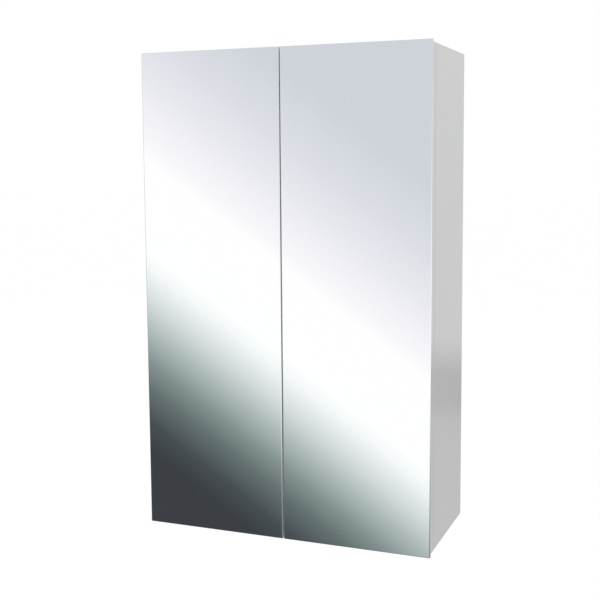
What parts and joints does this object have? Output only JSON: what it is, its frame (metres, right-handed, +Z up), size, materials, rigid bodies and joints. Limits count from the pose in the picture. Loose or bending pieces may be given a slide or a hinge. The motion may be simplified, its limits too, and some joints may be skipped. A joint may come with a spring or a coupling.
{
  "type": "mirror cabinet",
  "caption": "Wall-hung bathroom mirror cabinet with a pair of mirrored doors on concealed hinges, glass shelves on pins and wall fixing rails.",
  "frame": {"origin": "middle of the upper fixing rail's back face, on the wall plane, between its two wall screw holes", "axes": "+Z up, +Y into the wall, +X to the right as seen from the room; the doors face -Y"},
  "size_m": [0.45, 0.1968, 0.726],
  "materials": {
    "white_lacquer": "white gloss lacquer on 16 mm board",
    "back_board": "white-faced hardboard, satin",
    "mirror_glass": "silvered float glass with a polished pencil edge",
    "shelf_glass": "clear float glass with polished edges",
    "hinge_nickel": "nickel-plated pressed steel",
    "pin_nickel": "nickel-plated turned steel",
    "bumper_pad": "soft translucent pad"
  },
  "bodies": {
    "carcass": {"arm_screw_left_lower": "hinge_nickel", "arm_screw_left_upper": "hinge_nickel", "arm_screw_right_lower": "hinge_nickel", "arm_screw_right_upper": "hinge_nickel", "back_panel": "back_board", "bottom_panel": "white_lacquer", "fixing_rail_lower": "white_lacquer", "fixing_rail_upper": "white_lacquer", "hinge_arm_left_lower": "hinge_nickel", "hinge_arm_left_upper": "hinge_nickel", "hinge_arm_right_lower": "hinge_nickel", "hinge_arm_right_upper": "hinge_nickel", "hinge_plate_left_lower": "hinge_nickel", "hinge_plate_left_upper": "hinge_nickel", "hinge_plate_right_lower": "hinge_nickel", "hinge_plate_right_upper": "hinge_nickel", "plate_screw_left_lower_high": "hinge_nickel", "plate_screw_left_lower_low": "hinge_nickel", "plate_screw_left_upper_high": "hinge_nickel", "plate_screw_left_upper_low": "hinge_nickel", "plate_screw_right_lower_high": "hinge_nickel", "plate_screw_right_lower_low": "hinge_nickel", "plate_screw_right_upper_high": "hinge_nickel", "plate_screw_right_upper_low": "hinge_nickel", "shelf_1": "shelf_glass", "shelf_2": "shelf_glass", "shelf_pin_1_left_back": "pin_nickel", "shelf_pin_1_left_front": "pin_nickel", "shelf_pin_1_right_back": "pin_nickel", "shelf_pin_1_right_front": "pin_nickel", "shelf_pin_2_left_back": "pin_nickel", "shelf_pin_2_left_front": "pin_nickel", "shelf_pin_2_right_back": "pin_nickel", "shelf_pin_2_right_front": "pin_nickel", "side_panel_left": "white_lacquer", "side_panel_right": "white_lacquer", "top_panel": "white_lacquer"},
    "door_left": {"door_board_left": "white_lacquer", "door_bumper_left_lower": "bumper_pad", "door_bumper_left_upper": "bumper_pad", "hinge_cup_left_lower": "hinge_nickel", "hinge_cup_left_upper": "hinge_nickel", "mirror_left": "mirror_glass"},
    "outer_links_left": {"hinge_outer_link_left_lower": "hinge_nickel", "hinge_outer_link_left_upper": "hinge_nickel"},
    "inner_links_left": {"hinge_inner_link_left_lower": "hinge_nickel", "hinge_inner_link_left_upper": "hinge_nickel"},
    "door_right": {"door_board_right": "white_lacquer", "door_bumper_right_lower": "bumper_pad", "door_bumper_right_upper": "bumper_pad", "hinge_cup_right_lower": "hinge_nickel", "hinge_cup_right_upper": "hinge_nickel", "mirror_right": "mirror_glass"},
    "outer_links_right": {"hinge_outer_link_right_lower": "hinge_nickel", "hinge_outer_link_right_upper": "hinge_nickel"},
    "inner_links_right": {"hinge_inner_link_right_lower": "hinge_nickel", "hinge_inner_link_right_upper": "hinge_nickel"}
  },
  "joints": [
    {"name": "outer_link_left", "type": "hinge", "parent": "carcass", "child": "outer_links_left", "pos_m": [-0.1807, -0.1647, -0.3037], "axis": [0, 0, 1], "range_deg": [0, 29.79]},
    {"name": "door_left_swing", "type": "hinge", "parent": "outer_links_left", "child": "door_left", "pos_m": [-0.2115, -0.1783, -0.3037], "axis": [0, 0, -1], "range_deg": [0, 124.73]},
    {"name": "inner_link_left", "type": "hinge", "parent": "carcass", "child": "inner_links_left", "pos_m": [-0.1891, -0.182, -0.3037], "axis": [0, 0, 1], "range_deg": [0, 39.09]},
    {"name": "outer_link_right", "type": "hinge", "parent": "carcass", "child": "outer_links_right", "pos_m": [0.1807, -0.1647, -0.3037], "axis": [0, 0, -1], "range_deg": [0, 29.79]},
    {"name": "door_right_swing", "type": "hinge", "parent": "outer_links_right", "child": "door_right", "pos_m": [0.2115, -0.1783, -0.3037], "axis": [0, 0, 1], "range_deg": [0, 124.73]},
    {"name": "inner_link_right", "type": "hinge", "parent": "carcass", "child": "inner_links_right", "pos_m": [0.1891, -0.182, -0.3037], "axis": [0, 0, -1], "range_deg": [0, 39.09]}
  ],
  "couplings": [
    {"joint": "outer_link_left", "follows": "door_left_swing", "ratio": 0.23839},
    {"joint": "inner_link_left", "follows": "door_left_swing", "ratio": 0.31302},
    {"joint": "outer_link_right", "follows": "door_right_swing", "ratio": 0.23839},
    {"joint": "inner_link_right", "follows": "door_right_swing", "ratio": 0.31302}
  ]
}
